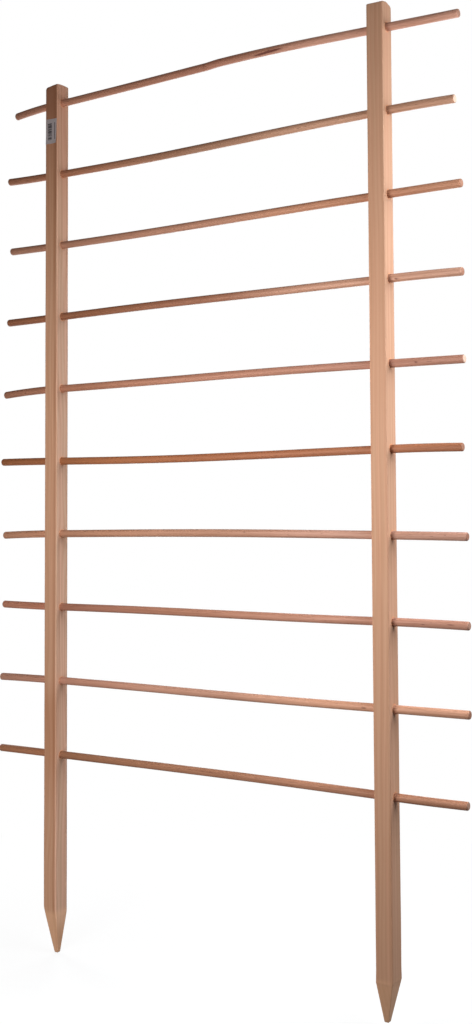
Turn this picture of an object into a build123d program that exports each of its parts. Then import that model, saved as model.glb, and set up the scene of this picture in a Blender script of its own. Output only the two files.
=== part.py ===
"""Ladder trellis: two pointed stakes with ten round rungs pushed through them.

Millimetres. The origin is on the soil line, midway between the two stakes.
+Z is up, +X runs along the rungs to the right, and +Y points to the back.
"""

import os

from build123d import *

# Stakes
STAKE_WIDTH = 32.0  # along X
STAKE_DEPTH = 36.0  # along Y
STAKE_LENGTH = 1780.0  # from the tip to the top
STAKE_SPACING = 750.0  # centre to centre
EDGE_RADIUS = 1.5  # eased long edges and top edges
BURIED_LENGTH = 250.0  # pushed into the soil

# Four-sided point at the foot of each stake
POINT_LENGTH = 86.0
TIP_WIDTH = 9.0
TIP_DEPTH = 10.0
TIP_CORNER_RADIUS = 4.0
TIP_RADIUS = 3.0  # rounding of the blunt tip

# Rungs, counted from the top
RUNG_DIAMETER = 15.0
RUNG_PITCH = 150.0
TOP_MARGIN = 40.0  # from the top of the stakes to the first rung's axis
RUNG_END_RADIUS = 3.0
BORE_CLEARANCE = 0.1  # radial gap around a rung in its bore
LEFT_OVERHANGS = (97, 117, 110, 118, 126, 133, 127, 128, 134, 135)
RIGHT_OVERHANGS = (137, 128, 138, 138, 139, 134, 140, 141, 140, 135)

# Brads that pin each rung from the back of the stake
BRAD_LENGTH = 20.0
BRAD_RADIUS = 0.7
BRAD_POINT_LENGTH = 1.6
BRAD_HEAD_RADIUS = 1.5
BRAD_HEAD_THICKNESS = 0.8
BRAD_SINK = 0.4  # depth of the head below the back face
BRAD_CLEARANCE = 0.05

# Paper label on the front of the left stake
LABEL_WIDTH = 28.0
LABEL_HEIGHT = 52.0
LABEL_THICKNESS = 0.2
LABEL_CORNER_RADIUS = 1.5
LABEL_TILT = -2.0  # degrees
LABEL_DROP = 61.0  # from the first rung's axis to the label's centre
LABEL_OFFSET = -0.5  # from the stake's centre line

STAKE_TOP = STAKE_LENGTH - BURIED_LENGTH
SHOULDER = POINT_LENGTH - BURIED_LENGTH
TIP = -BURIED_LENGTH
BACK_FACE = STAKE_DEPTH / 2
FIRST_RUNG = STAKE_TOP - TOP_MARGIN
RUNG_COUNT = len(LEFT_OVERHANGS)
RUNG_HEIGHTS = [FIRST_RUNG - i * RUNG_PITCH for i in range(RUNG_COUNT)]
STAKE_CENTRES = {"left": -STAKE_SPACING / 2, "right": STAKE_SPACING / 2}


def save(part, name):
    """Label a finished piece and write it under its node name."""
    part.label = name
    export_step(part, f"parts/{name}.step")


def rung_axis_plane(x, z):
    """A plane across a rung's axis, looking along +X."""
    return Plane(origin=(x, 0, z), x_dir=(0, 1, 0), z_dir=(1, 0, 0))


def brad_plane(x, z):
    """A plane on a brad's head, with its normal along the brad into the wood."""
    return Plane(origin=(x, BACK_FACE - BRAD_SINK, z), x_dir=(1, 0, 0), z_dir=(0, -1, 0))


def brad_pocket(x, z):
    """The hole that one brad makes in the wood, open at the back face."""
    head = brad_plane(x, z)
    with BuildPart() as pocket:
        with BuildSketch(head.offset(-2 * BRAD_SINK)):
            Circle(BRAD_HEAD_RADIUS + BRAD_CLEARANCE)
        extrude(amount=2 * BRAD_SINK + BRAD_HEAD_THICKNESS + BRAD_CLEARANCE)
        with BuildSketch(head):
            Circle(BRAD_RADIUS + BRAD_CLEARANCE)
        extrude(amount=BRAD_LENGTH + BRAD_CLEARANCE)
    return pocket.part


def make_stake(x):
    """A square stake with a pointed foot, bored for every rung."""
    bores = [rung_axis_plane(x, z).location for z in RUNG_HEIGHTS]
    pockets = [brad_pocket(x, z) for z in RUNG_HEIGHTS]
    with BuildPart() as stake:
        with BuildSketch(Plane(origin=(x, 0, SHOULDER))):
            RectangleRounded(STAKE_WIDTH, STAKE_DEPTH, EDGE_RADIUS)
        extrude(amount=STAKE_TOP - SHOULDER)
        with BuildSketch(Plane(origin=(x, 0, SHOULDER))):
            RectangleRounded(STAKE_WIDTH, STAKE_DEPTH, EDGE_RADIUS)
        with BuildSketch(Plane(origin=(x, 0, TIP))):
            RectangleRounded(TIP_WIDTH, TIP_DEPTH, TIP_CORNER_RADIUS)
        loft()
        fillet(stake.faces().sort_by(Axis.Z)[-1].edges(), EDGE_RADIUS)
        fillet(stake.faces().sort_by(Axis.Z)[0].edges(), TIP_RADIUS)
        with Locations(*bores):
            Hole(RUNG_DIAMETER / 2 + BORE_CLEARANCE, depth=STAKE_WIDTH)
        add(pockets, mode=Mode.SUBTRACT)
    return stake.part


def make_rung(z, left_overhang, right_overhang):
    """A round rung through both stakes, with rounded ends and two brad holes."""
    reach = (STAKE_SPACING + STAKE_WIDTH) / 2
    start = -reach - left_overhang
    length = 2 * reach + left_overhang + right_overhang
    pockets = [brad_pocket(x, z) for x in STAKE_CENTRES.values()]
    with BuildPart() as rung:
        with BuildSketch(rung_axis_plane(start, z)):
            Circle(RUNG_DIAMETER / 2)
        extrude(amount=length)
        fillet(rung.edges().filter_by(GeomType.CIRCLE), RUNG_END_RADIUS)
        add(pockets, mode=Mode.SUBTRACT)
    return rung.part


def make_brads(x):
    """The ten headed brads of one stake, as separate solids."""
    shank_end = BRAD_LENGTH - BRAD_POINT_LENGTH
    with BuildPart() as brad:
        with BuildSketch(Plane.XZ):
            with BuildLine():
                Polyline(
                    (0, 0),
                    (BRAD_HEAD_RADIUS, 0),
                    (BRAD_HEAD_RADIUS, BRAD_HEAD_THICKNESS),
                    (BRAD_RADIUS, BRAD_HEAD_THICKNESS),
                    (BRAD_RADIUS, shank_end),
                    (0, BRAD_LENGTH),
                    close=True,
                )
            make_face()
        revolve(axis=Axis.Z)
    with BuildPart() as brads:
        with Locations(*[brad_plane(x, z).location for z in RUNG_HEIGHTS]):
            add(brad.part)
    return brads.part


def make_label():
    """A thin paper label stuck to the front face of the left stake."""
    centre_x = STAKE_CENTRES["left"] + LABEL_OFFSET
    centre_z = FIRST_RUNG - LABEL_DROP
    front = Plane(
        origin=(centre_x, -BACK_FACE, centre_z), x_dir=(1, 0, 0), z_dir=(0, -1, 0)
    )
    with BuildPart() as label:
        with BuildSketch(front):
            RectangleRounded(
                LABEL_WIDTH, LABEL_HEIGHT, LABEL_CORNER_RADIUS, rotation=LABEL_TILT
            )
        extrude(amount=LABEL_THICKNESS)
    return label.part


os.makedirs("parts", exist_ok=True)

for side, centre in STAKE_CENTRES.items():
    save(make_stake(centre), f"{side}_stake")
    save(make_brads(centre), f"{side}_brads")

rungs = zip(RUNG_HEIGHTS, LEFT_OVERHANGS, RIGHT_OVERHANGS)
for number, (height, left, right) in enumerate(rungs, start=1):
    save(make_rung(height, left, right), f"rung_{number:02d}")

save(make_label(), "label")
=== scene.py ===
"""Looks of the ladder trellis: two pointed stakes, ten bowed rungs, brads and a paper label.

Metres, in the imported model's frame: the origin is on the soil line, midway between the stakes.
X runs along the rungs to the right, Y to the back and Z up.
"""

import math

import bmesh
import bpy
import numpy as np
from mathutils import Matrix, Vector, noise


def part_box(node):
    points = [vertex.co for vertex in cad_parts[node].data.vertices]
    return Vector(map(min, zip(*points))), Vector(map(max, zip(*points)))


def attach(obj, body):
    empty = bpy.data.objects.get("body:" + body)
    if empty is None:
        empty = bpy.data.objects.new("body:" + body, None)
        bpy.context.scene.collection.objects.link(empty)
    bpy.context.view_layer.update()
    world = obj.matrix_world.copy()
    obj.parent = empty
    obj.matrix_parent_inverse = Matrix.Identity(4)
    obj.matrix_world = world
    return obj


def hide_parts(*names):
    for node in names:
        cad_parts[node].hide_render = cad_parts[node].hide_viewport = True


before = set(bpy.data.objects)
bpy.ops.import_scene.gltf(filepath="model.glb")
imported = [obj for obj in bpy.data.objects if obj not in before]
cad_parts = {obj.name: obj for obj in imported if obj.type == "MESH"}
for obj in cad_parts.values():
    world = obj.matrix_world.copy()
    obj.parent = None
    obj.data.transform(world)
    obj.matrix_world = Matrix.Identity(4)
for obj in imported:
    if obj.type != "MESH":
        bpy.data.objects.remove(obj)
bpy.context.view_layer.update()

MM = 0.001
RUNG_NAMES = [f"rung_{number:02d}" for number in range(1, 11)]


# ---------------------------------------------------------------- places from the frame


def middle(node):
    """The middle of a CAD node's box."""
    low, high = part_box(node)
    return (low + high) / 2


STAKE_LOW, STAKE_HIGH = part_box("right_stake")
STAKE_X = middle("right_stake").x
HALF_WIDTH = (STAKE_HIGH.x - STAKE_LOW.x) / 2
HALF_DEPTH = (STAKE_HIGH.y - STAKE_LOW.y) / 2
TOP = STAKE_HIGH.z
TIP = STAKE_LOW.z
RUNG_HEIGHTS = [middle(name).z for name in RUNG_NAMES]
RUNG_PITCH = (RUNG_HEIGHTS[0] - RUNG_HEIGHTS[-1]) / (len(RUNG_NAMES) - 1)
RUNG_RADIUS = (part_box("rung_01")[1].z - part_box("rung_01")[0].z) / 2
BRAD_HEAD_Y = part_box("left_brads")[1].y


# ---------------------------------------------------------------- mesh helpers


def smooth_noise(x, y, z, seed):
    """Smooth noise from -1 to 1 at a point, different for each seed."""
    return noise.noise(Vector((x + 17.3 * seed, y - 5.1 * seed, z + 3.7 * seed)))


def ease(value, low, high):
    """Rises smoothly from 0 at low to 1 at high."""
    t = min(max((value - low) / (high - low), 0.0), 1.0)
    return t * t * (3 - 2 * t)


def turn(steps):
    """Angles evenly round a whole turn."""
    return [math.tau * i / steps for i in range(steps)]


def new_object(name, vertices, faces):
    """A mesh object with outward normals."""
    mesh = bpy.data.meshes.new(name)
    mesh.from_pydata([tuple(v) for v in vertices], [], faces)
    shape = bmesh.new()
    shape.from_mesh(mesh)
    bmesh.ops.recalc_face_normals(shape, faces=shape.faces)
    shape.to_mesh(mesh)
    shape.free()
    piece = bpy.data.objects.new(name, mesh)
    bpy.context.scene.collection.objects.link(piece)
    return piece


def skin(rings):
    """Vertices and faces of a closed skin over rings with the same number of points each. The
    middles of its two ends come last in the vertices."""
    count = len(rings[0])
    vertices = [point for ring in rings for point in ring]
    faces = []
    for i in range(len(rings) - 1):
        for j in range(count):
            a = i * count + j
            b = i * count + (j + 1) % count
            faces.append((a, b, b + count, a + count))
    for first, ring in ((0, rings[0]), ((len(rings) - 1) * count, rings[-1])):
        vertices.append(sum((Vector(p) for p in ring), Vector()) / count)
        centre = len(vertices) - 1
        faces += [(first + j, first + (j + 1) % count, centre) for j in range(count)]
    return vertices, faces


def joined(objects, name):
    """One object that holds several closed meshes, in their place."""
    vertices, faces = [], []
    for o in objects:
        start = len(vertices)
        vertices += [tuple(v.co) for v in o.data.vertices]
        faces += [tuple(start + i for i in p.vertices) for p in o.data.polygons]
        bpy.data.objects.remove(o)
    return new_object(name, vertices, faces)


def cut(piece, cutters):
    """Subtracts closed cutter objects from a piece, and deletes them."""
    for cutter in cutters:
        modifier = piece.modifiers.new("cut", "BOOLEAN")
        modifier.operation = "DIFFERENCE"
        modifier.solver = "EXACT"
        modifier.object = cutter
    graph = bpy.context.evaluated_depsgraph_get()
    mesh = bpy.data.meshes.new_from_object(piece.evaluated_get(graph))
    piece.modifiers.clear()
    piece.data = mesh
    for cutter in cutters:
        bpy.data.objects.remove(cutter)


def shade(piece, angle_degrees):
    """Smooth shading, with edges sharper than the angle left crisp."""
    piece.data.shade_smooth()
    piece.data.set_sharp_from_angle(angle=math.radians(angle_degrees))


def set_attribute(piece, name, values):
    """Stores one number per vertex, for the materials to read."""
    attribute = piece.data.attributes.new(name, "FLOAT", "POINT")
    attribute.data.foreach_set("value", np.array(values, np.float32))


def paint(piece, material):
    """Gives a piece one material."""
    piece.data.materials.clear()
    piece.data.materials.append(material)


def finish_piece(piece, material, replaced):
    """Material, body and replaced node of a finished piece."""
    paint(piece, material)
    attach(piece, "root")
    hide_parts(replaced)


# ---------------------------------------------------------------- node helpers


class Nodes:
    """A short way to write a material's node tree."""

    def __init__(self, name):
        self.material = bpy.data.materials.new(name)
        self.material.use_nodes = True
        self.tree = self.material.node_tree
        self.shader = self.tree.nodes["Principled BSDF"]

    def add(self, kind, **settings):
        node = self.tree.nodes.new(kind)
        for key, value in settings.items():
            setattr(node, key, value)
        return node

    def feed(self, socket, value):
        """Links an output to a socket, or sets the socket to a constant."""
        if isinstance(value, bpy.types.NodeSocket):
            self.tree.links.new(value, socket)
        else:
            socket.default_value = value

    def math(self, operation, a, b=0.0):
        node = self.add("ShaderNodeMath", operation=operation)
        self.feed(node.inputs[0], a)
        self.feed(node.inputs[1], b)
        return node.outputs[0]

    def times(self, a, b):
        return self.math("MULTIPLY", a, b)

    def plus(self, a, b):
        return self.math("ADD", a, b)

    def minus(self, a, b):
        return self.math("SUBTRACT", a, b)

    def length(self, a, b):
        """The length of the vector (a, b)."""
        return self.math("SQRT", self.plus(self.times(a, a), self.times(b, b)))

    def within(self, value, limits):
        """1 between two limits, and 0 elsewhere."""
        above = self.math("GREATER_THAN", value, limits[0])
        below = self.math("LESS_THAN", value, limits[1])
        return self.times(above, below)

    def ramp(self, value, low, high, least=0.0, most=1.0):
        """Goes smoothly from least at low to most at high. Low may be above high."""
        node = self.add("ShaderNodeMapRange", interpolation_type="SMOOTHSTEP")
        for socket, v in zip(node.inputs, (value, low, high, least, most)):
            self.feed(socket, v)
        return node.outputs[0]

    def mix(self, factor, a, b):
        """The colour a where the factor is 0, and b where it is 1."""
        node = self.add("ShaderNodeMix", data_type="RGBA")
        self.feed(node.inputs[0], factor)
        self.feed(node.inputs[6], a)
        self.feed(node.inputs[7], b)
        return node.outputs[2]

    def place(self):
        """Object coordinates X, Y and Z."""
        split = self.add("ShaderNodeSeparateXYZ")
        self.feed(split.inputs[0], self.add("ShaderNodeTexCoord").outputs["Object"])
        return split.outputs

    def noise(self, per_metre, offset=(0.0, 0.0, 0.0), detail=3.0, rough=0.55):
        """Noise from 0 to 1, about so many features per metre in X, Y and Z."""
        mapping = self.add("ShaderNodeMapping")
        self.feed(mapping.inputs["Vector"], self.add("ShaderNodeTexCoord").outputs["Object"])
        self.feed(mapping.inputs["Location"], offset)
        self.feed(mapping.inputs["Scale"], per_metre)
        node = self.add("ShaderNodeTexNoise")
        self.feed(node.inputs["Vector"], mapping.outputs[0])
        self.feed(node.inputs["Scale"], 1.0)
        self.feed(node.inputs["Detail"], detail)
        self.feed(node.inputs["Roughness"], rough)
        return node.outputs["Fac"]

    def attribute(self, name):
        return self.add("ShaderNodeAttribute", attribute_name=name).outputs["Fac"]

    def bump(self, height, strength, distance):
        node = self.add("ShaderNodeBump")
        self.feed(node.inputs["Height"], height)
        self.feed(node.inputs["Strength"], strength)
        self.feed(node.inputs["Distance"], distance)
        self.feed(self.shader.inputs["Normal"], node.outputs["Normal"])

    def set(self, **values):
        """Feeds the shader's sockets by name, with _ for a space."""
        for key, value in values.items():
            self.feed(self.shader.inputs[key.replace("_", " ")], value)


def srgb(red, green, blue):
    """A colour given as 0 to 255 screen values, as linear light with alpha."""
    def linear(v):
        v /= 255
        return v / 12.92 if v <= 0.04045 else ((v + 0.055) / 1.055) ** 2.4
    return (linear(red), linear(green), linear(blue), 1.0)


WOOD_GLOSS = 0.3  # the specular level of bare wood
WOOD_BUMP = (0.3, 0.2 * MM)  # strength and depth


# ---------------------------------------------------------------- stake wood


RING_WIDTH = 8.2 * MM  # from one growth ring to the next

# Colours of the wood, of what lies over it, and of painted shade and painted light
RED_BAND = srgb(205, 158, 133)
GREY_BAND = srgb(195, 156, 130)
PALE_AREA = srgb(207, 168, 143)
LATE_WOOD = srgb(166, 116, 88)
BROWN_STREAK = srgb(160, 112, 84)
DARK_FIBRE = srgb(150, 104, 78)
HEARTWOOD = srgb(172, 120, 86)
# Painted shade: darker heartwood, and warmer and darker wood, towards the top of the stake
PAINTED_HEART_SHADE = srgb(104, 62, 40)
PAINTED_WARM_SHADE = srgb(206, 128, 72)
PAINTED_DARK_SHADE = srgb(150, 60, 36)
FRONT_PATCH = srgb(140, 72, 12)
HEART_EDGE = srgb(136, 84, 52)
BORE_RIM = srgb(226, 150, 98)
# Painted light: lighter, warmer wood towards the point, standing in for light bounced up from the
# floor
PAINTED_BOUNCE_LIGHT = srgb(230, 178, 140)
STAKE_END = srgb(140, 98, 70)

# Heights at which those come in: where each begins, and where it is full
PAINTED_HEART_SHADE_HEIGHTS = (1.38, 1.5)
PAINTED_WARM_SHADE_HEIGHTS = (1.0, 1.35)
PAINTED_DARK_SHADE_HEIGHTS = (1.25, 1.5)
PATCH_UPPER_HEIGHTS = (0.31, 0.23)
PATCH_LOWER_HEIGHTS = (0.0, 0.16)
PAINTED_BOUNCE_LIGHT_HEIGHTS = (TIP + 88 * MM, TIP + 68 * MM)


def growth_rings(n, place, pith, offset, sweep):
    """Late wood, from 0 to 1, of soft growth rings about a pith line beside the stake."""
    east, north, _ = place
    warp = n.noise((14, 14, sweep), offset, detail=2.0)
    wander = n.noise((110, 110, 2.6), offset, detail=2.0)
    radius = n.length(n.minus(east, pith[0]), n.minus(north, pith[1]))
    radius = n.plus(radius, n.times(warp, 34 * MM))
    radius = n.plus(radius, n.times(wander, 4 * MM))
    ring = n.math("FRACT", n.math("DIVIDE", radius, RING_WIDTH))
    return n.times(n.ramp(ring, 0.2, 0.8), n.ramp(ring, 1.0, 0.86))


def with_heart(n, color, place, heart, painted_shade_and_patch):
    """Adds browner heartwood, with painted shade that darkens it towards the top of the stake."""
    east, _, up = place
    inner = n.ramp(east, *heart, most=0.5)
    color = n.mix(inner, color, HEARTWOOD)
    top_shade_share = n.times(inner, n.ramp(up, *PAINTED_HEART_SHADE_HEIGHTS, most=painted_shade_and_patch))
    return n.mix(top_shade_share, color, PAINTED_HEART_SHADE)


def with_painted_shade_and_patch(n, color, place, painted_shade_and_patch):
    """Adds painted shade, warmer and darker towards the top, and a dark patch low on the front
    face.
    """
    _, north, up = place
    color = n.mix(n.ramp(up, *PAINTED_WARM_SHADE_HEIGHTS, most=painted_shade_and_patch * 0.16), color, PAINTED_WARM_SHADE)
    color = n.mix(n.ramp(up, *PAINTED_DARK_SHADE_HEIGHTS, most=painted_shade_and_patch * 0.2), color, PAINTED_DARK_SHADE)
    lower = n.ramp(up, *PATCH_LOWER_HEIGHTS, most=painted_shade_and_patch * 0.3)
    patch = n.times(n.ramp(up, *PATCH_UPPER_HEIGHTS), lower)
    front = n.ramp(north, -HALF_DEPTH + 4 * MM, -HALF_DEPTH + 1 * MM)
    return n.mix(n.times(patch, front), color, FRONT_PATCH)


def with_heart_edge(n, color, place, tone, heart):
    """Adds a dark streak where the heartwood ends, stronger in some places."""
    east = place[0]
    edge = n.times(n.ramp(east, *heart), n.ramp(east, heart[1] - 7 * MM, heart[1]))
    strength = n.ramp(tone, 0.35, 0.65, 0.3, 0.65)
    return n.mix(n.times(edge, strength), color, HEART_EDGE)


def with_bore_rims(n, color, place):
    """Adds orange rims round the bores."""
    _, north, up = place
    from_axis = n.math("PINGPONG", n.minus(up, RUNG_HEIGHTS[-1]), RUNG_PITCH / 2)
    rim = n.ramp(n.length(from_axis, north), RUNG_RADIUS + 3 * MM, RUNG_RADIUS + 0.6 * MM)
    has_bores = n.math("GREATER_THAN", up, RUNG_HEIGHTS[-1] - RUNG_PITCH / 4)
    return n.mix(n.times(n.times(rim, has_bores), 0.5), color, BORE_RIM)


def stake_wood(name, pith, offset, heart, sweep, painted_shade_and_patch):
    """Planed softwood: growth rings, broad bands of colour, and fine fibres along the stake, with
    painted light on the point. Heart is the two places in X between which the wood turns browner,
    sweep is how many times in a metre the rings wander sideways, and crown, from 0 to 1, is how
    much painted shade darkens the wood towards the top, and how strong the dark patch low on the
    front face is."""
    n = Nodes(name)
    place = n.place()
    late = growth_rings(n, place, pith, offset, sweep)
    fibre = n.noise((1300, 1300, 14), offset, rough=0.6)
    streak = n.noise((300, 300, 1.9), offset)
    band = n.noise((125, 125, 1.5), offset, detail=2.0, rough=0.5)
    tone = n.noise((30, 30, 3.5), offset)
    color = n.mix(n.ramp(band, 0.4, 0.6), RED_BAND, GREY_BAND)
    color = n.mix(n.ramp(tone, 0.3, 0.7, most=0.4), color, PALE_AREA)
    color = n.mix(n.times(late, 0.34), color, LATE_WOOD)
    color = n.mix(n.ramp(streak, 0.48, 0.72, most=0.5), color, BROWN_STREAK)
    color = n.mix(n.ramp(fibre, 0.5, 0.8, most=0.3), color, DARK_FIBRE)
    color = with_heart(n, color, place, heart, painted_shade_and_patch)
    color = with_painted_shade_and_patch(n, color, place, painted_shade_and_patch)
    color = with_heart_edge(n, color, place, tone, heart)
    color = with_bore_rims(n, color, place)
    # Painted light towards the point, standing in for light bounced up from the floor
    color = n.mix(n.ramp(place[2], *PAINTED_BOUNCE_LIGHT_HEIGHTS, most=0.45), color, PAINTED_BOUNCE_LIGHT)
    color = n.mix(n.times(n.attribute("end_grain"), 0.4), color, STAKE_END)
    roughness = n.ramp(fibre, 0.3, 0.7, 0.6, 0.76)
    n.set(Base_Color=color, Roughness=roughness, Specular_IOR_Level=WOOD_GLOSS)
    n.bump(n.plus(n.times(fibre, 0.6), n.times(late, -0.4)), *WOOD_BUMP)
    return n.material


# ---------------------------------------------------------------- rung wood


FLECK = srgb(92, 50, 36)
KNOT = srgb(92, 36, 18)
DARK_END = (srgb(132, 84, 60), srgb(104, 62, 44))  # of the wood, and of its pores
PALE_END = (srgb(214, 184, 164), srgb(184, 146, 122))

# What a tint is multiplied by in red, green and blue
LIGHT_WOOD = (1.03, 1.01, 1.02)
BROWN_WOOD = (0.89, 0.83, 0.79)
DARK_WOOD = (0.78, 0.68, 0.62)


def rung_tints(n, tints, painted_tip_light, tone):
    """A function from a tint's multipliers to the colour that drifts through a rung's three tints
    along X; the tints hold painted light, lighter by the right stake. The left tip is lighter than
    the first tint by the factor painted_tip_light, painted light on the tip that the left stake
    shades."""
    east = n.place()[0]
    along = n.plus(east, n.times(tone, 0.2))
    to_left_tip = n.ramp(east, -STAKE_X + 25 * MM, -STAKE_X - 35 * MM)
    to_middle = n.ramp(along, -0.2, 0.1)
    to_right = n.ramp(along, 0.1, 0.42)
    # Painted light on the left tip, which the left stake shades from the key lamp
    left_tip = [value * painted_tip_light for value in tints[0]]

    def shade_of(multipliers):
        left, mid, right, tip = (
            srgb(*(v * m for v, m in zip(tint, multipliers))) for tint in (*tints, left_tip)
        )
        color = n.mix(to_left_tip, left, tip)
        return n.mix(to_right, n.mix(to_middle, color, mid), right)

    return shade_of


def end_face(n, end_tone, offset):
    """The colour of an end face, from a dark one at 0 to a pale one at 1."""
    pore = n.noise((1, 2600, 2600), offset, detail=2.0, rough=0.6)
    pores = n.ramp(pore, 0.4, 0.65)
    return n.mix(end_tone, n.mix(pores, *DARK_END), n.mix(pores, *PALE_END))


def rung_wood(name, rung, offset):
    """Sanded dowel with fine fibres, darker streaks, short dark flecks, knots and end faces."""
    n = Nodes(name)
    fibre = n.noise((20, 1500, 1500), offset, rough=0.6)
    streak = n.noise((4, 230, 230), offset)
    tone = n.noise((7, 30, 30), offset)
    fleck = n.noise((75, 620, 620), offset, detail=1.0, rough=0.4)
    knot = n.attribute("knot")
    shade_of = rung_tints(n, rung.tints, rung.painted_tip_light, tone)
    streaks = n.ramp(streak, 0.42, 0.7, most=0.75)
    color = n.mix(streaks, shade_of(LIGHT_WOOD), shade_of(BROWN_WOOD))
    color = n.mix(n.ramp(fibre, 0.48, 0.78, most=0.5), color, shade_of(DARK_WOOD))
    color = n.mix(n.ramp(fleck, 0.73, 0.79, most=0.8), color, FLECK)
    color = n.mix(knot, color, KNOT)
    end = n.times(n.attribute("end_grain"), 0.85)
    color = n.mix(end, color, end_face(n, rung.end_tone, offset))
    roughness = n.ramp(fibre, 0.3, 0.7, 0.55, 0.72)
    n.set(Base_Color=color, Roughness=roughness, Specular_IOR_Level=WOOD_GLOSS)
    n.bump(n.minus(n.times(fibre, 0.5), n.times(knot, 0.5)), *WOOD_BUMP)
    return n.material


# ---------------------------------------------------------------- paper and steel


# Where the label's print is, as shares of its width and of its height
BAR_STRIP = (0.22, 0.56)
THIN_RULE = (0.8, 0.86)
PRINT_HEIGHT = (0.16, 0.84)
PAPER = (srgb(186, 174, 174), srgb(162, 150, 152))
INK = srgb(36, 30, 36)
STEEL = srgb(176, 176, 180)
RUST = srgb(120, 88, 66)


def label_paper():
    """Greyish coated paper with a printed strip of plain bars and one thin rule."""
    n = Nodes("label_paper")
    low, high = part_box("label")
    east, _, up = n.place()
    across = n.math("DIVIDE", n.minus(east, low.x), high.x - low.x)
    along = n.math("DIVIDE", n.minus(up, low.z), high.z - low.z)
    bar = n.math("GREATER_THAN", n.noise((1, 1, 1100), detail=0.0), 0.37)
    in_height = n.within(along, PRINT_HEIGHT)
    bars = n.times(bar, n.times(n.within(across, BAR_STRIP), in_height))
    rule = n.times(n.within(across, THIN_RULE), in_height)
    mottle = n.noise((400, 400, 400))
    color = n.mix(n.times(n.math("MAXIMUM", bars, rule), 0.9), n.mix(mottle, *PAPER), INK)
    n.set(Base_Color=color, Roughness=n.ramp(mottle, 0.3, 0.7, 0.42, 0.55))
    n.bump(mottle, 0.2, 0.05 * MM)
    return n.material


def brad_steel():
    """Drawn steel wire with fine scratches and a little rust bloom."""
    n = Nodes("brad_steel")
    scratch = n.noise((3000, 300, 3000))
    bloom = n.noise((900, 900, 900))
    color = n.mix(n.ramp(bloom, 0.55, 0.75, most=0.7), STEEL, RUST)
    roughness = n.ramp(scratch, 0.3, 0.7, 0.28, 0.5)
    n.set(Base_Color=color, Roughness=roughness, Metallic=1.0)
    n.bump(scratch, 0.2, 0.03 * MM)
    return n.material


# ---------------------------------------------------------------- stakes


CORNER_STEPS = 5
SIDE_STEPS = 8
EDGE_WEAR = (1.9 * MM, 0.5 * MM)  # radius of the long edges, and how much it varies
POINT_EDGE = 0.9 * MM  # radius of the point's sharper edges
POINT_BLEND = (70 * MM, 95 * MM)  # above the tip, where the one goes over into the other
TIP_HALF = 4 * MM  # half the side of the point's blunt end
TIP_ROUNDING = 3.6 * MM
TOP_ROUNDING = (2.4 * MM, 0.4 * MM)  # radius of the top's edge, and how much it varies
WORN_REACH = (2 * MM, 20 * MM)  # from the worn corner, where the extra wear fades out
UNEVENNESS = 0.006  # of the planed faces, as a share
EDGE_WAVES = 14  # waves per metre in the long edges' wear
FACE_WAVES = (60, 60, 5)  # in the faces' unevenness, in X, Y and Z
TOP_WAVES = 90  # in the top edge's wear
TIP_STEPS = 5  # outlines in the tip's rounding
TOP_STEPS = 6  # outlines in the top's rounding, apart from the first
TOP_SHARES = (0.8, 0.55, 0.3)  # sizes of the outlines on the sawn top
POINT_END, POINT_STEP = TIP + 110 * MM, 4 * MM  # the fine outlines along the point
SHAFT_START, SHAFT_STEP = TIP + 112 * MM, 10 * MM  # the coarser ones above it
SHAFT_END = TOP - 16 * MM
STAKE_CREASE = 28  # degrees, above which an edge stays crisp
FACES_UP = (0.9, 0.99)  # Z of the normal, from no end grain to full

BORE_GAP = 0.2 * MM  # round a rung in its bore
BORE_FLARE = 0.4 * MM  # how much wider a bore is at its mouths
MOUTH_DEPTH = 0.4 * MM
PAST_FACE = 1 * MM  # how far a cutter stands out of the face that it cuts
DIMPLE_RADIUS = 2.6 * MM
DIMPLE_DEPTH = 0.25 * MM
BRAD_HOLE = (1.65 * MM, 1.6 * MM)  # radius under the dimple, and at the bottom
BRAD_HEAD_SPACE = 0.95 * MM  # depth from the brad's head face to the bottom
BORE_SIDES, BRAD_SIDES = 48, 20


def rounded_box(x0, x1, y0, y1, radius):
    """Points anticlockwise round a rectangle with round corners, starting at its right side."""
    corners = ((x1, y1, 0), (x0, y1, 90), (x0, y0, 180), (x1, y0, 270))
    arcs = []
    for x, y, start in corners:
        cx = x - math.copysign(radius, x - (x0 + x1) / 2)
        cy = y - math.copysign(radius, y - (y0 + y1) / 2)
        angles = [math.radians(start + 90 * i / CORNER_STEPS) for i in range(CORNER_STEPS + 1)]
        arcs.append([(cx + radius * math.cos(a), cy + radius * math.sin(a)) for a in angles])
    points = []
    for arc, following in zip(arcs, arcs[1:] + arcs[:1]):
        points += arc
        (ax, ay), (bx, by) = arc[-1], following[0]
        for i in range(1, SIDE_STEPS):
            t = i / SIDE_STEPS
            points.append((ax + (bx - ax) * t, ay + (by - ay) * t))
    return points


def inset(points, centre, distances):
    """Points moved towards a centre by their own distances."""
    moved = []
    for (x, y), distance in zip(points, distances):
        dx, dy = centre[0] - x, centre[1] - y
        share = min(distance / math.hypot(dx, dy), 1.0)
        moved.append((x + dx * share, y + dy * share))
    return moved


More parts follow.
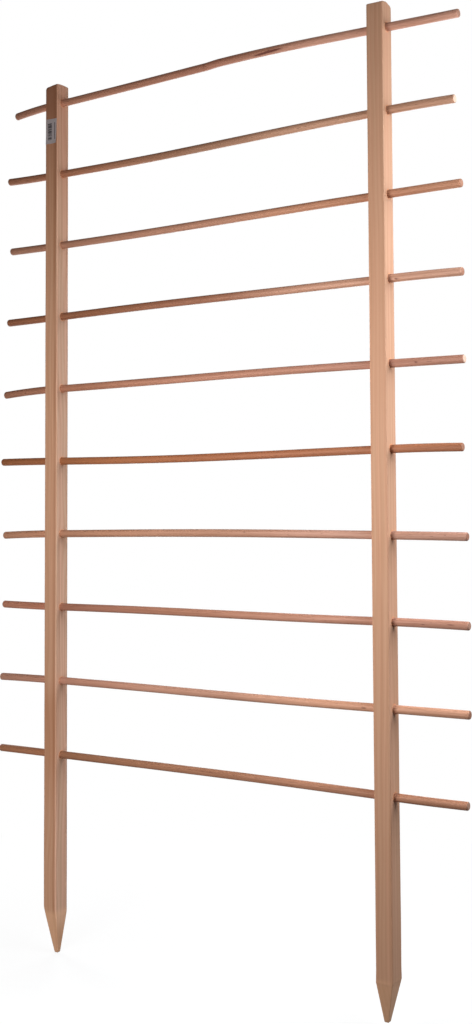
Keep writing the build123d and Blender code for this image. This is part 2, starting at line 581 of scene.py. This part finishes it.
class Stake:
    """One stake's own irregularities, in X and Y from its axis. Its shoulders are the heights above
    the tip at which the point's left, right, front and back cuts start. Its top cut is the saw
    cut's rise above the CAD top, its slopes in X and Y, and its dome."""

    def __init__(
        self, name, shoulders, tip, tip_offset, top_cut, worn_corner, worn_radius, seed
    ):
        self.name = name
        self.centre = middle(name).x
        self.shoulders = shoulders
        self.tip = tip
        self.tip_offset = tip_offset
        self.top_cut = top_cut
        self.worn_corner = Vector(worn_corner)
        self.worn_radius = worn_radius
        self.seed = seed

    def section(self, z):
        """The stake's outline at a height."""
        rise = z - self.tip
        tip_x, tip_y = self.tip_offset
        full_sides = (-HALF_WIDTH, HALF_WIDTH, -HALF_DEPTH, HALF_DEPTH)
        tip_sides = (tip_x - TIP_HALF, tip_x + TIP_HALF, tip_y - TIP_HALF, tip_y + TIP_HALF)
        sides = []
        for shoulder, full, narrow in zip(self.shoulders, full_sides, tip_sides):
            sides.append(narrow + (full - narrow) * min(rise / shoulder, 1.0))
        wear = EDGE_WEAR[0] + EDGE_WEAR[1] * smooth_noise(0, 0, z * EDGE_WAVES, self.seed)
        pointed = 1 - ease(rise, *POINT_BLEND)
        return rounded_box(*sides, wear * (1 - pointed) + POINT_EDGE * pointed)

    def lift(self, outline, z):
        """An outline at a height, with the planed faces' slight unevenness."""
        in_x, in_y, in_z = FACE_WAVES
        points = []
        for x, y in outline:
            swell = 1 + UNEVENNESS * smooth_noise(x * in_x, y * in_y, z * in_z, self.seed)
            points.append((x * swell, y * swell, z))
        return points

    def tip_rings(self):
        """Outlines of the point's rounded end, from the tip up."""
        base = self.section(self.tip + TIP_ROUNDING)
        rings = []
        for step in range(TIP_STEPS):
            angle = math.radians(90 * step / TIP_STEPS)
            amount = TIP_ROUNDING * (1 - math.sin(angle))
            z = self.tip + TIP_ROUNDING * (1 - math.cos(angle))
            rings.append(self.lift(inset(base, self.tip_offset, [amount] * len(base)), z))
        return rings

    def shaft_rings(self):
        """Outlines from the rounded end to just under the top, close together along the point."""
        heights = list(np.arange(self.tip + TIP_ROUNDING, POINT_END, POINT_STEP))
        heights += [self.tip + shoulder for shoulder in self.shoulders]
        heights += list(np.arange(SHAFT_START, SHAFT_END, SHAFT_STEP))
        return [self.lift(self.section(z), z) for z in sorted(heights)]

    def top_rings(self):
        """Outlines of the top's rounded edge, and of the sawn face inside it."""
        outline = self.section(TOP)
        rounding = [self.top_rounding(x, y) for x, y in outline]
        rings = []
        for step in range(TOP_STEPS + 1):
            angle = math.radians(90 * step / TOP_STEPS)
            ring = inset(outline, (0, 0), [r * (1 - math.cos(angle)) for r in rounding])
            drops = [r * (1 - math.sin(angle)) for r in rounding]
            rings.append([(x, y, self.top_at(x, y) - drop) for (x, y), drop in zip(ring, drops)])
        rim = rings[-1]
        for share in TOP_SHARES:
            inner = [(x * share, y * share) for x, y, _ in rim]
            rings.append([(x, y, self.top_at(x, y)) for x, y in inner])
        return rings

    def top_rounding(self, x, y):
        """The radius of the top's edge at a place on it."""
        near = 1 - ease((Vector((x, y)) - self.worn_corner).length, *WORN_REACH)
        wobble = TOP_ROUNDING[1] * smooth_noise(x * TOP_WAVES, y * TOP_WAVES, 1.0, self.seed)
        return TOP_ROUNDING[0] + wobble + self.worn_radius * near

    def top_at(self, x, y):
        """The height of the sawn top at a place on it."""
        rise, slope_x, slope_y, dome = self.top_cut
        tilt = slope_x * x / HALF_WIDTH + slope_y * y / HALF_DEPTH
        return TOP + rise + tilt + dome * (1 - (y / HALF_DEPTH) ** 2)


def bore_cutter(x, z):
    """A cylinder along X with a small flare where it leaves each side of a stake."""
    radius = RUNG_RADIUS + BORE_GAP
    outer = HALF_WIDTH + PAST_FACE
    inner = HALF_WIDTH - MOUTH_DEPTH
    wide = radius + BORE_FLARE
    rings = []
    for along, r in ((-outer, wide), (-inner, radius), (inner, radius), (outer, wide)):
        rings.append([(x + along, r * math.cos(a), z + r * math.sin(a)) for a in turn(BORE_SIDES)])
    return new_object("bore_cutter", *skin(rings))


def brad_cutter(x, z):
    """The dimple and hole that a brad makes in a stake's back face."""
    profile = (
        (HALF_DEPTH + PAST_FACE, DIMPLE_RADIUS),
        (HALF_DEPTH - DIMPLE_DEPTH, BRAD_HOLE[0]),
        (BRAD_HEAD_Y - BRAD_HEAD_SPACE, BRAD_HOLE[1]),
    )
    rings = []
    for y, r in profile:
        rings.append([(x + r * math.cos(a), y, z + r * math.sin(a)) for a in turn(BRAD_SIDES)])
    return new_object("brad_cutter", *skin(rings))


def make_stake(stake, material):
    """A stake's mesh, with bores and brad holes, in place of its CAD node."""
    vertices, faces = skin(stake.tip_rings() + stake.shaft_rings() + stake.top_rings())
    vertices = [(v[0] + stake.centre, v[1], v[2]) for v in vertices]
    piece = new_object(stake.name + "_wood", vertices, faces)
    bores = joined([bore_cutter(stake.centre, z) for z in RUNG_HEIGHTS], "bores")
    holes = joined([brad_cutter(stake.centre, z) for z in RUNG_HEIGHTS], "holes")
    cut(piece, [bores, holes])
    shade(piece, STAKE_CREASE)
    ends = [ease(v.normal.z, *FACES_UP) for v in piece.data.vertices]
    set_attribute(piece, "end_grain", ends)
    finish_piece(piece, material, stake.name)


# ---------------------------------------------------------------- rungs


ROUND_STEPS = 40  # points round a rung
LENGTH_STEPS = 260  # outlines along it
END_RADIUS = 3 * MM
OUT_OF_ROUND = 0.012  # as a share of the radius
SWAY = 1.2 * MM  # to the front and back, between the stakes
SWAY_ZONE = (0.015, 0.12)  # from the stakes inwards, where the sway comes in
SWAY_WAVES = 3  # waves per metre
ROUND_WAVES = 12  # waves per metre along it, in how far it is out of round
KINK_X = 35 * MM  # where a crook ends that begins at mid-span
END_STEPS = 6  # outlines in an end's rounding
RUNG_CREASE = 40  # degrees
FACES_OUT = (0.45, 0.8)  # X of the normal, from no end grain to full
KNOT_FADE = (0.5, 1.4)  # in squares of a knot's size, from dark to clear


class Rung:
    """One rung's own shape and looks. Bow and lean are how far it rises at mid-span, and how far
    more to the right than to the left; left_tip, right_tip and kink are how far its free tips and
    a crook near mid-span rise, all in millimetres up from its straight axis. The tints are the
    wood's colours by the left stake, at mid-span and by the right stake: the rung's own tone, with
    painted light that makes most rungs lighter by the right stake, on the key lamp's side. The left
    tip is lighter by the factor painted_tip_light, painted light on the tip that the left stake
    shades, and end_tone goes from 0, a dark end face, to 1, a pale one. A knot is its X, its angle
    in degrees from the back over the top, its length and width along and round the rung, its
    darkness from 0 to 1, and its slant."""

    def __init__(
        self, bow, lean, left_tip, right_tip, *tints,
        kink=0.0, painted_tip_light=1.0, end_tone=0.4, knots=(),
    ):
        self.bow = bow
        self.lean = lean
        self.left_tip = left_tip
        self.right_tip = right_tip
        self.kink = kink
        self.tints = tints
        self.painted_tip_light = painted_tip_light
        self.end_tone = end_tone
        self.knots = knots


# The tints hold painted light: most are lighter by the right stake, and painted_tip_light lightens
# the left tips in the left stake's shade
RUNGS = (
    Rung(
        5.0, 1.9, -6.5, -5.3, (176, 124, 99), (160, 108, 85), (188, 139, 116), kink=1.6,
        end_tone=0.15, knots=((146, -146, 64, 4.6, 1.0, -0.05), (4, 200, 4, 12, 0.45, 1.2)),
    ),
    Rung(
        -2.4, 0.8, 4.4, -2.8, (160, 108, 80), (152, 112, 87), (181, 138, 111),
        painted_tip_light=1.03, end_tone=1.0,
    ),
    Rung(
        -1.4, 0.8, 2.4, -0.5, (162, 117, 94), (162, 117, 94), (179, 127, 97),
        painted_tip_light=1.06, end_tone=0.1, knots=((425, 160, 14, 2, 0.5, 0),),
    ),
    Rung(
        1.1, -0.5, -0.6, -2.4, (134, 86, 59), (134, 88, 65), (188, 144, 120),
        painted_tip_light=1.1, end_tone=0.0, knots=((408, 205, 5, 4, 0.9, 0),),
    ),
    Rung(
        1.2, 0.7, -5.4, -1.8, (158, 109, 85), (161, 114, 93), (168, 121, 101),
        end_tone=0.8, knots=((443, 190, 5, 3, 0.8, 0),),
    ),
    Rung(
        -3.4, 0.5, 1.5, -1.0, (144, 90, 55), (140, 86, 54), (154, 99, 68),
        painted_tip_light=1.05, end_tone=0.1,
    ),
    Rung(
        2.5, 0.1, -3.8, -2.0, (162, 118, 93), (154, 114, 92), (180, 138, 119),
        painted_tip_light=1.16, end_tone=0.0,
    ),
    Rung(
        0.3, -0.6, 0.8, -1.3, (148, 101, 81), (153, 108, 86), (178, 131, 110),
        painted_tip_light=1.25, end_tone=0.2, knots=((500, 175, 12, 2.5, 0.5, 0.1),),
    ),
    Rung(
        -0.9, -0.6, -1.9, 1.0, (172, 126, 105), (166, 125, 104), (194, 145, 117),
        painted_tip_light=1.06, end_tone=0.0, knots=((336, 185, 7, 3, 0.6, 0),),
    ),
    Rung(
        1.8, 0.4, -1.0, 0.5, (139, 95, 68), (147, 103, 77), (169, 120, 93),
        painted_tip_light=1.18, end_tone=0.3,
    ),
)


def rung_lift(rung, x, low, high):
    """How far a rung's centreline is above its axis at x, in metres. Past the stakes it goes on at
    the same slope and bends to the tip's own height."""
    share = x / STAKE_X
    if abs(share) <= 1:
        rise = rung.bow * math.cos(math.pi * share / 2) + rung.lean * math.sin(math.pi * share)
        crook = rung.kink * (ease(x, 0, KINK_X) - ease(x, KINK_X, STAKE_X))
        return (rise + crook) * MM
    if x < 0:
        t = (x + STAKE_X) / (low + STAKE_X)
        slope = (rung.bow * math.pi / 2 - rung.lean * math.pi) * (low + STAKE_X) / STAKE_X
        return (slope * t + (rung.left_tip - slope) * t * t) * MM
    t = (x - STAKE_X) / (high - STAKE_X)
    slope = (-rung.bow * math.pi / 2 - rung.lean * math.pi) * (high - STAKE_X) / STAKE_X
    return (slope * t + (rung.right_tip - slope) * t * t) * MM


def knot_darkness(rung, x, angle):
    """How dark the wood is at a place on a rung, from its knots."""
    dark = 0.0
    for centre, turned, length, width, depth, slant in rung.knots:
        along = x / MM - centre
        around = (angle - turned + 180) % 360 - 180
        across = math.radians(around) * RUNG_RADIUS / MM - slant * along
        reach = (2 * along / length) ** 2 + (2 * across / width) ** 2
        dark = max(dark, depth * (1 - ease(reach, *KNOT_FADE)))
    return dark


def rung_stations(start, end):
    """Places along a rung, each with how far its rounded ends draw the surface in there."""
    arc = [math.radians(90 * i / END_STEPS) for i in range(1, END_STEPS + 1)]
    cap = [(END_RADIUS * math.sin(a), END_RADIUS * (1 - math.cos(a))) for a in arc]
    left = [(start + END_RADIUS - out, back) for out, back in reversed(cap)]
    right = [(end - END_RADIUS + out, back) for out, back in cap]
    straight = np.linspace(start + END_RADIUS, end - END_RADIUS, LENGTH_STEPS)
    return left + [(x, 0.0) for x in straight] + right


def make_rung(name, rung, seed, material):
    """A bowed dowel with rounded ends, slightly out of round, in place of its CAD node."""
    low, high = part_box(name)
    axis = middle(name)
    rings, knots = [], []
    for x, back in rung_stations(low.x, high.x):
        between = ease(STAKE_X - abs(x), *SWAY_ZONE)
        centre_y = axis.y + SWAY * smooth_noise(x * SWAY_WAVES, 0, 0, seed) * between
        centre_z = axis.z + rung_lift(rung, x, low.x, high.x)
        ring = []
        for angle in turn(ROUND_STEPS):
            y, z = math.cos(angle), math.sin(angle)
            swell = 1 + OUT_OF_ROUND * smooth_noise(x * ROUND_WAVES, y, z, seed)
            radius = (RUNG_RADIUS - back) * swell
            ring.append((x, centre_y + radius * y, centre_z + radius * z))
            knots.append(knot_darkness(rung, x, math.degrees(angle)))
        rings.append(ring)
    knots += [0.0, 0.0]  # the middles of the two ends
    piece = new_object(name + "_dowel", *skin(rings))
    shade(piece, RUNG_CREASE)
    ends = [ease(abs(v.normal.x), *FACES_OUT) for v in piece.data.vertices]
    set_attribute(piece, "end_grain", ends)
    set_attribute(piece, "knot", knots)
    finish_piece(piece, material, name)


# ---------------------------------------------------------------- label


LABEL_WIDTH = 28 * MM
LABEL_HEIGHT = 52 * MM
LABEL_TILT = math.radians(-2)
PAPER_THICKNESS = 0.2 * MM
PAPER_GAP = 0.02 * MM  # behind the label
CURL = 1.4 * MM  # how far its lower right corner would lift, if the curl went on to full
CURL_ZONE = (0.72, 1.05)  # towards that corner, in shares of the label's sides
WRINKLE = 0.05 * MM
WRINKLE_WAVES = (250, 120)  # waves per metre, in X and Z
LABEL_SEED = 3
LABEL_CREASE = 40  # degrees
COLUMNS, ROWS = 16, 28


def label_points():
    """The label's front and back points, row by row from its lower left corner."""
    low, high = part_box("label")
    centre = (low + high) / 2
    in_x, in_z = WRINKLE_WAVES
    front, back = [], []
    for j in range(ROWS + 1):
        for i in range(COLUMNS + 1):
            u, v = i / COLUMNS - 0.5, j / ROWS - 0.5
            across, up = LABEL_WIDTH * u, LABEL_HEIGHT * v
            x = centre.x + across * math.cos(LABEL_TILT) - up * math.sin(LABEL_TILT)
            z = centre.z + across * math.sin(LABEL_TILT) + up * math.cos(LABEL_TILT)
            curl = CURL * ease(u - v, *CURL_ZONE)
            wrinkle = WRINKLE * (1 + smooth_noise(x * in_x, 0, z * in_z, LABEL_SEED))
            y = -HALF_DEPTH - PAPER_GAP - curl - wrinkle
            front.append((x, y - PAPER_THICKNESS, z))
            back.append((x, y, z))
    return front, back


def make_label(material):
    """A thin paper sheet whose lower right corner has started to lift."""
    front, back = label_points()
    row = COLUMNS + 1
    faces = []
    for j in range(ROWS):
        for i in range(COLUMNS):
            a = j * row + i
            quad = (a, a + 1, a + row + 1, a + row)
            faces.append(quad)
            faces.append(tuple(len(front) + k for k in reversed(quad)))
    border = list(range(COLUMNS))
    border += [j * row + COLUMNS for j in range(ROWS)]
    border += [ROWS * row + i for i in range(COLUMNS, 0, -1)]
    border += [j * row for j in range(ROWS, 0, -1)]
    for a, b in zip(border, border[1:] + border[:1]):
        faces.append((a, b, len(front) + b, len(front) + a))
    piece = new_object("label_sheet", front + back, faces)
    shade(piece, LABEL_CREASE)
    finish_piece(piece, material, "label")


# ---------------------------------------------------------------- the object


left_stake = Stake(
    name="left_stake",
    shoulders=(94 * MM, 78 * MM, 90 * MM, 84 * MM),
    tip=TIP - 8 * MM,
    tip_offset=(5 * MM, 1 * MM),
    top_cut=(-3.2 * MM, 1.0 * MM, 0.6 * MM, 1.5 * MM),
    worn_corner=(-HALF_WIDTH, -HALF_DEPTH),
    worn_radius=4.5 * MM,
    seed=1,
)
right_stake = Stake(
    name="right_stake",
    shoulders=(70 * MM, 73 * MM, 70 * MM, 72 * MM),
    tip=TIP + 7 * MM,
    tip_offset=(-3.5 * MM, 0.5 * MM),
    top_cut=(4.3 * MM, -0.4 * MM, 2.6 * MM, 2 * MM),
    worn_corner=(HALF_WIDTH, HALF_DEPTH),
    worn_radius=7 * MM,
    seed=2,
)
left_wood = stake_wood(
    "left_stake_wood",
    pith=(-0.402, -0.052),
    offset=(3.1, 1.7, 0.4),
    heart=(-STAKE_X + HALF_WIDTH, -STAKE_X + HALF_WIDTH * 0.72),
    sweep=2.4,
    # painted shade towards the top, and the low front patch
    painted_shade_and_patch=0.9,
)
right_wood = stake_wood(
    "right_stake_wood",
    pith=(0.431, -0.044),
    offset=(8.3, 5.2, 2.6),
    heart=(STAKE_X + HALF_WIDTH * 4, STAKE_X + HALF_WIDTH * 3),  # heartwood throughout
    sweep=1.1,
    painted_shade_and_patch=0.0,
)
make_stake(left_stake, left_wood)
make_stake(right_stake, right_wood)

for number, (name, rung) in enumerate(zip(RUNG_NAMES, RUNGS), start=1):
    offset = (1.37 * number, 0.61 * number, 2.3 * number)
    make_rung(name, rung, 10 + number, rung_wood(name + "_wood", rung, offset))

make_label(label_paper())

steel = brad_steel()
for name in ("left_brads", "right_brads"):
    paint(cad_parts[name], steel)


# ---------------------------------------------------------------- floor, light and camera


FLOOR_DROP = 8.5 * MM  # below the CAD tips, just under the lower visual tip
FLOOR_SIZE = 60
FLOOR_FADE = (0.0, 1.3)  # from the middle outwards, where it goes over into pure white
FLOOR_GLOW = 0.8  # how much of it glows in the middle, out of 1
FLOOR_GREYS = ((0.8, 0.8, 0.8, 1.0), (0.86, 0.86, 0.86, 1.0))
WHITE = (1, 1, 1)
WORLD_LIGHT = 0.07  # strength as a light; the camera sees it at 1

LAMPS = (  # name, place, target, width and height, watts, colour
    ("key", (1.285, 0.0, 1.151), (0.39, -0.045, 0.394), (1.1, 0.9), 24.5, (0.92, 1.0, 1.07)),
    ("high_fill", (-0.1, -0.8, 0.69), (0.7, 0, 0.918), (0.5, 0.5), 12.4, (0.95, 0.95, 0.92)),
    ("low_fill", (-0.09, -0.8, -0.05), (-0.744, 0, -0.55), (0.5, 0.35), 5.3, (0.97, 0.98, 0.97)),
    ("back", (-1.1, 2.2, 0.6), (0, 0, 0.6), (1.6, 1.6), 60, WHITE),
    ("top", (0, 0.5, 2.7), (0, 0, 0.5), (1.5, 1.5), 9, WHITE),
    ("left", (-2.2, 0.8, 0.65), (0, 0.1, 0.65), (0.8, 1.2), 26, WHITE),
)

CAMERA_PLACE = (1.375, -2.0256, 0.622)
CAMERA_TURN = (92.925, 0.249, 33.386)  # degrees about X, Y and Z
CAMERA_LENS = 45.07
CAMERA_SENSOR = 36
CAMERA_SHIFT = (0.0119, -0.0586)


def make_floor():
    """A pale floor under the stakes' tips, which goes over into the white surroundings."""
    bpy.ops.mesh.primitive_grid_add(x_subdivisions=8, y_subdivisions=8, size=FLOOR_SIZE)
    floor = bpy.context.object
    floor.name = "floor"
    floor.location = (0, 0, TIP - FLOOR_DROP)
    floor.visible_diffuse = False
    n = Nodes("floor_paint")
    east, north, _ = n.place()
    far = n.ramp(n.length(east, north), *FLOOR_FADE, least=FLOOR_GLOW)
    n.set(Base_Color=n.mix(n.noise((40, 40, 40)), *FLOOR_GREYS), Roughness=0.9)
    glow = n.add("ShaderNodeEmission")
    mixer = n.add("ShaderNodeMixShader")
    n.feed(mixer.inputs[0], far)
    n.feed(mixer.inputs[1], n.shader.outputs[0])
    n.feed(mixer.inputs[2], glow.outputs[0])
    n.feed(n.tree.nodes["Material Output"].inputs["Surface"], mixer.outputs[0])
    floor.data.materials.append(n.material)


def make_world():
    """White surroundings, dimmer as a light than they look."""
    world = bpy.data.worlds.new("studio")
    bpy.context.scene.world = world
    world.use_nodes = True
    tree = world.node_tree
    background = tree.nodes["Background"]
    background.inputs["Color"].default_value = (1, 1, 1, 1)
    path = tree.nodes.new("ShaderNodeLightPath")
    strength = tree.nodes.new("ShaderNodeMapRange")
    strength.inputs["To Min"].default_value = WORLD_LIGHT
    strength.inputs["To Max"].default_value = 1.0
    tree.links.new(path.outputs["Is Camera Ray"], strength.inputs["Value"])
    tree.links.new(strength.outputs[0], background.inputs["Strength"])


def area_light(name, place, target, size, power, color):
    """A soft rectangular lamp that points at a place, and that the camera doesn't see."""
    data = bpy.data.lights.new(name, "AREA")
    data.shape = "RECTANGLE"
    data.size, data.size_y = size
    data.energy = power
    data.color = color
    lamp = bpy.data.objects.new(name, data)
    bpy.context.scene.collection.objects.link(lamp)
    lamp.visible_camera = False
    lamp.location = place
    direction = Vector(target) - Vector(place)
    lamp.rotation_euler = direction.to_track_quat("-Z", "Y").to_euler()


def make_camera():
    """The camera at the photograph's viewing place, with a small lens shift."""
    data = bpy.data.cameras.new("camera")
    data.lens = CAMERA_LENS
    data.sensor_width = CAMERA_SENSOR
    data.shift_x, data.shift_y = CAMERA_SHIFT
    camera = bpy.data.objects.new("camera", data)
    bpy.context.scene.collection.objects.link(camera)
    camera.location = CAMERA_PLACE
    camera.rotation_euler = [math.radians(angle) for angle in CAMERA_TURN]
    bpy.context.scene.camera = camera


make_floor()
make_world()
for lamp in LAMPS:
    area_light(*lamp)
make_camera()
bpy.context.scene.view_settings.view_transform = "Standard"
